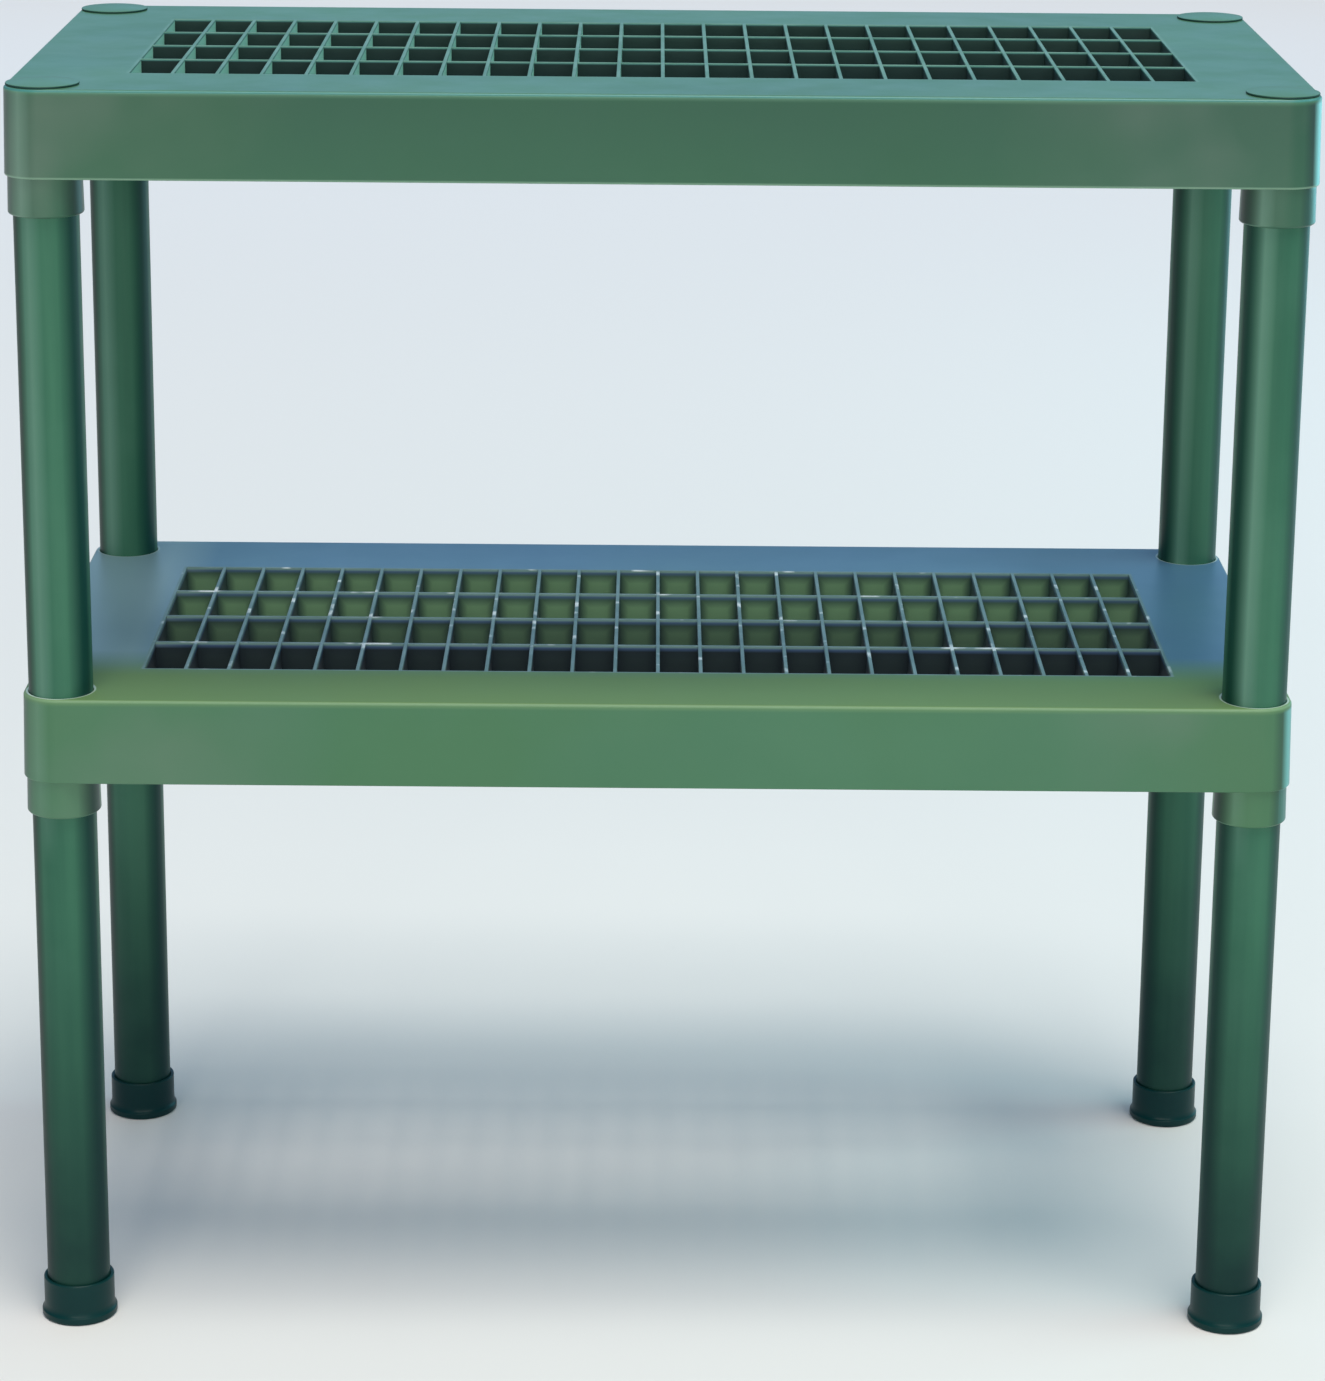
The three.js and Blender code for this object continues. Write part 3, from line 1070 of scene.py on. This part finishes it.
# %% [markdown]
# ## The finishes
#
# Shelves and plugs are one green with a satin face. In the holes, on the front strip of the lower deck
# and under the plug rims it is dull. The stains and the painted light and shade are laid on in the
# order of their lists, as coats of paint are, so the holes come after the skirt: their walls lie at
# the same height and would take its colour otherwise.

# %% What the finishes share
upper_deck, lower_deck = deck_levels["upper_shelf"], deck_levels["lower_shelf"]
SHELF_GREENS = colour(84, 134, 104), colour(76, 124, 97), colour(104, 144, 120)
GREY_BLOOM = colour(118, 130, 122)
HIGHLIGHT_GREEN = colour(150, 186, 168)
SATIN = 0.36
TUBE_SATIN = 0.42
DULL = 0.75
SHELF_GLOSS = 0.4
TUBE_GLOSS = 0.2


def shelf_green(name, stains_and_painted_light):
    return green_plastic(name, *SHELF_GREENS, SATIN, SHELF_GLOSS, stains_and_painted_light=stains_and_painted_light)


def shaded_sides(level):
    """Painted shade on the sides of skirt and collars under a deck."""
    edge, hem = level - DECK_EDGE, level - SKIRT_HEIGHT
    return [
        (side(-0.75, -0.95, 0.6, LEFT, edge), colour(20, 60, 52)),
        (side(-0.55, -0.9, 0.9, RIGHT, hem), colour(6, 42, 32)),
        (side(0.5, 0.85, 0.85, LEFT, hem), colour(8, 46, 40)),
    ]


print("roughness:", {"satin": SATIN, "tubes": TUBE_SATIN, "dull": DULL})

# %% [markdown]
# The deck of the upper shelf keeps the body colour. Its skirt is darker as painted shade and mottled,
# its right-hand corners carry a painted highlight beside a painted dark line, and its holes are nearly
# black with painted shade except where their walls face right, which are pale with painted sunlight.

# %% The upper shelf
upper_edge, upper_hem = upper_deck - DECK_EDGE, upper_deck - SKIRT_HEIGHT
upper_plastic = shelf_green(
    "upper_shelf_green",
    [
        # painted shade on the skirt and collars, then mottled patches
        (skirt_shade(upper_deck, 0.9, 0.72), colour(16, 74, 56)),
        (skirt_patches(upper_deck, 5, 0.35), colour(28, 92, 50)),
        (skirt_patches(upper_deck, 7, 0.5, at_ends=1), GREY_BLOOM),
        # a painted highlight strip up the front left of the round corners and collars
        (highlight_strip(-0.85, -0.2, 0.3), HIGHLIGHT_GREEN),
        # painted shade, then a painted highlight band, on the right-hand corners, and painted shade on
        # the right-hand collars
        (side(0.45, 0.7, 0.7, RIGHT, upper_edge), colour(16, 54, 54)),
        (side(0.72, 0.88, 0.94, RIGHT, upper_edge), colour(118, 190, 186)),
        (side(0.55, 0.75, 0.75, RIGHT, upper_hem), colour(30, 88, 78)),
        *shaded_sides(upper_deck),
        # painted highlights along the hem and the deck's round edge
        (hem_highlight(upper_deck, 0.45), colour(150, 186, 160)),
        (edge_highlight(upper_deck, 0.9), colour(66, 134, 132)),
        # painted shade in the holes, and painted sunlight on their walls that face right
        (hole_shade_and_light(upper_deck, 0.97, 0.9), colour(0, 36, 36), DULL),
        (sunlit_walls(upper_deck, 1), colour(150, 214, 190), DULL),
        (rubbed_ribs(upper_deck, 0.3, 0.3), colour(150, 190, 176)),
    ],
)
print("upper shelf:", len(upper_plastic.node_tree.nodes), "nodes")

# %% [markdown]
# The lower shelf has the same skirt in a lighter green. Its holes carry painted olive light in the
# back rows and painted shade, nearly black, in the front one, and its deck has the painted blue shade
# and the painted sunlit front strip.

# %% The lower shelf
lower_edge, lower_hem = lower_deck - DECK_EDGE, lower_deck - SKIRT_HEIGHT
lower_plastic = shelf_green(
    "lower_shelf_green",
    [
        # painted shade on the skirt and collars, then mottled patches
        (skirt_shade(lower_deck, 0.6, 0.6), colour(58, 108, 76)),
        (skirt_patches(lower_deck, 5, 0.6), colour(66, 114, 74)),
        (skirt_patches(lower_deck, 7, 0.35, at_ends=1), GREY_BLOOM),
        # a painted highlight strip up the front left of the round corners and collars
        (highlight_strip(-0.85, -0.2, 0.2), HIGHLIGHT_GREEN),
        # painted shade, then a painted highlight band, on the right-hand corners, and painted shade on
        # the right-hand collars
        (side(0.4, 0.65, 0.6, RIGHT, lower_edge), colour(20, 60, 52)),
        (side(0.68, 0.86, 0.9, RIGHT, lower_edge), colour(104, 182, 176)),
        (side(0.55, 0.75, 0.75, RIGHT, lower_hem), colour(40, 96, 80)),
        *shaded_sides(lower_deck),
        # painted olive light on the hole walls, painted shade in their corners, and painted shade,
        # nearly black, in the front row
        (hole_shade_and_light(lower_deck, 0.8, 0.8), colour(98, 132, 96), DULL),
        (corner_shade(lower_deck, 0.88), colour(8, 44, 48), DULL),
        (hole_shade_and_light(lower_deck, 0.96, 0), colour(0, 22, 34), DULL),
        # painted shade behind the front strip of the lower deck, blue with the sky it mirrors, paler
        # at its left end, and painted sunlight on the front strip
        (deck_light_and_shade(lower_deck, 0.68, front=False), colour(86, 122, 176)),
        (left_end_light(lower_deck, 0.7), colour(156, 186, 186)),
        (deck_light_and_shade(lower_deck, 0.85, front=True), colour(106, 138, 82), DULL),
        # painted highlights on the deck's round edge and round the sockets
        (edge_highlight(lower_deck, 0.5), colour(130, 164, 132)),
        (socket_rim_highlight(lower_deck, 0.9), colour(196, 222, 216)),
        (rib_tops(lower_deck, 0.95, 0.9), colour(92, 122, 114)),
        (rubbed_ribs(lower_deck, 0.6, 0.35), colour(140, 168, 170)),
        # painted glints on the ribs
        (rib_glints(lower_deck, 0.9), colour(236, 246, 248)),
    ],
)
print("lower shelf:", len(lower_plastic.node_tree.nodes), "nodes")

# %% [markdown]
# The plugs have painted shade under their rims, which draws the dark line round each of them. The
# tubes and cups are a deeper green than the shelves and less glossy, and the cups are darkest,
# darkened as painted shade near the floor.

# %% Plugs, tubes and cups
RIM_SHADE_TOP, RIM_SHADE_FOOT = upper_deck + 1.35 * MM, upper_deck + 1.1 * MM
LEG_SHADE_TOP, LEG_SHADE_FOOT = 270 * MM, 40 * MM
cap_plastic = shelf_green(
    "cap_green",
    # painted shade under the plug rims
    [(shade_downwards(RIM_SHADE_TOP, RIM_SHADE_FOOT, 0.95), colour(8, 56, 56), DULL)],
)
tube_plastic = green_plastic(
    "tube_green",
    colour(60, 112, 88),
    colour(46, 96, 76),
    colour(84, 130, 110),
    TUBE_SATIN,
    TUBE_GLOSS,
    streaks=True,
    stains_and_painted_light=[
        # a painted highlight strip up the front left of each tube
        (highlight_strip(-0.85, -0.05, 0.36), colour(130, 168, 152)),
        # painted shade on the left and right sides of the tubes
        (side(0.4, 0.8, 0.9, LEFT, turn=TUBE_TURN), colour(0, 52, 48)),
        (side(-0.62, -0.86, 0.9, LEFT, turn=TUBE_TURN), colour(18, 48, 38)),
        (side(-0.45, -0.82, 0.88, RIGHT, turn=TUBE_TURN), colour(0, 50, 42)),
        (side(0.55, 0.8, 0.75, RIGHT, turn=TUBE_TURN), colour(4, 58, 54)),
        # painted shade, darker towards the floor
        (shade_downwards(LEG_SHADE_TOP, LEG_SHADE_FOOT, 0.95), colour(0, 40, 40)),
    ],
)
# the cups' green, darkened as painted shade near the floor
foot_shaded_greens = colour(4, 54, 52), colour(0, 42, 44), colour(24, 66, 64)
foot_plastic = green_plastic("foot_green", *foot_shaded_greens, SATIN, TUBE_GLOSS)
print("tubes:", len(tube_plastic.node_tree.nodes), "nodes")

# %% [markdown]
# Each dressed piece gets the plastic of its kind. The CAD nodes get it too, so that the model
# has the same colours whichever of the two is shown.

# %% Hand the plastics out
FINISH = {"upper_shelf": upper_plastic, "cap": cap_plastic, "lower_shelf": lower_plastic}
FINISH.update({"leg": tube_plastic, "post": tube_plastic, "foot": foot_plastic})


def finish_of(node):
    return next(material for word, material in FINISH.items() if word in node)


for pieces in (dressed, frame["nodes"]):
    for node, piece in pieces.items():
        piece.data.materials.clear()
        piece.data.materials.append(finish_of(node))
print("painted:", len(dressed), "pieces and", len(frame["nodes"]), "CAD nodes")

# %% [markdown]
# ## A plain studio
#
# A pale floor and a pale, even sky let the green speak for itself. The floor is wide enough to
# fill the picture behind the bench. It belongs to the studio and not to the bench, so it is
# declared as stage.

# %% Floor and sky
FLOOR_SIZE = 60
FLOOR_GREY = 0.8
SKY_BLUE = 0.5, 0.68, 0.95, 1
SKY_STRENGTH = 0.31
clear_selection()
bpy.ops.mesh.primitive_plane_add(size=FLOOR_SIZE, location=(0, 0, 0))
floor = bpy.context.object
floor.name = "studio_floor"
floor_paint = bpy.data.materials.new("pale_floor")
floor_paint.use_nodes = True
floor_shader = floor_paint.node_tree.nodes["Principled BSDF"]
floor_shader.inputs["Base Color"].default_value = (FLOOR_GREY, FLOOR_GREY, FLOOR_GREY, 1)
floor_shader.inputs["Roughness"].default_value = 0.9
floor_shader.inputs["Specular IOR Level"].default_value = 0.1
floor.data.materials.append(floor_paint)
floor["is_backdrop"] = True

sky = bpy.data.worlds.new("pale_sky")
sky.use_nodes = True
background = sky.node_tree.nodes["Background"]
background.inputs["Color"].default_value = SKY_BLUE
background.inputs["Strength"].default_value = SKY_STRENGTH
bpy.context.scene.world = sky
bpy.context.scene.view_settings.view_transform = "Standard"
print("stage:", floor.name, "world:", sky.name)

# %% [markdown]
# The photograph was taken outdoors, under a high sun and a blue sky. A wide, soft sun from the
# front lights the decks and slips under the upper shelf as far as the front strip of the lower
# one. A blue panel behind is what the glossy decks mirror, and a soft, faintly warm panel in
# front lifts the skirts and tubes out of the shade. Two cool lights on the right, one low and
# one high, draw the thin bright edge down the right side of posts and corners.

# %% Soft lights
def softbox(name, place, aim, size, power, tint):
    """A large area light at a place, turned towards a point."""
    clear_selection()
    bpy.ops.object.light_add(type="AREA", location=place)
    light = bpy.context.object
    light.name = name
    light.data.shape = "RECTANGLE"
    light.data.size, light.data.size_y = size
    light.data.energy = power
    light.data.color = tint
    direction = Vector(aim) - Vector(place)
    light.rotation_euler = direction.to_track_quat("-Z", "Y").to_euler()
    return light


centre = (cad_low + cad_high) / 2
softbox("blue_back", (0, 6, 3.0), centre, (9, 2.6), 58, (0.25, 0.6, 1))
softbox("right_edge", (2.7, 2.3, 0.55), centre, (2.0, 1.1), 16, (0.2, 0.85, 1))
softbox("right_sky", (2.6, 0.2, 2.6), centre, (1.4, 1.4), 18, (0.45, 0.95, 0.95))
softbox("soft_front", (0, -3.4, 1.3), (0, 0, 0.4), (3.2, 0.6), 46, (1, 1, 0.9))
clear_selection()
bpy.ops.object.light_add(type="SUN", location=(0, 0, 4))
sun = bpy.context.object
sun.name = "soft_sun"
sun.data.energy = 2.25
sun.data.color = (1, 0.93, 0.82)
sun.data.angle = math.radians(30)
sun_from = Vector((0.1, -0.22, 1))
sun.rotation_euler = sun_from.to_track_quat("Z", "Y").to_euler()

# %% [markdown]
# ## The camera
#
# The photograph looks at the bench from the front and from above, with upright posts that stay
# almost parallel. A long lens from a few metres away gives that. The position and the turn were
# found by matching the corners of the decks, the lattice and the cups with the picture. A small
# shift of the lens puts the bench in the middle of the frame.

# %% Camera
PICTURE_HEIGHT = 1381
FOCAL_PIXELS = 4098.1
EYE = -0.0052, -2.5137, 1.1252
PITCH, YAW, ROLL = 0.2625, -0.0026, 0.0085
LENS_SHIFT = 0.0014, -0.1
clear_selection()
bpy.ops.object.camera_add()
camera = bpy.context.object
camera.name = "photo_camera"
camera.data.lens = FOCAL_PIXELS * camera.data.sensor_width / PICTURE_HEIGHT
to_view = Matrix.Rotation(ROLL, 3, "Z") @ Matrix.Rotation(PITCH, 3, "X") @ Matrix.Rotation(YAW, 3, "Y")
world_to_view = to_view @ Matrix(((1, 0, 0), (0, 0, -1), (0, 1, 0)))
right, down, forward = world_to_view
camera_axes = Matrix((right, -down, -forward)).transposed()
camera.matrix_world = Matrix.Translation(EYE) @ camera_axes.to_4x4()
camera.data.shift_x, camera.data.shift_y = LENS_SHIFT
bpy.context.scene.camera = camera
print("lens in mm:", round(camera.data.lens, 1), "height of the eye:", round(camera.location.z, 3))

# %% [markdown]
# ## Check the size
#
# The dressed bench has to fill the CAD box and no more.

# %% Finish
new_low, new_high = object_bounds()
differences = [*(new_low - cad_low), *(new_high - cad_high)]
print("largest difference in mm:", round(max(map(abs, differences)) / MM, 3))
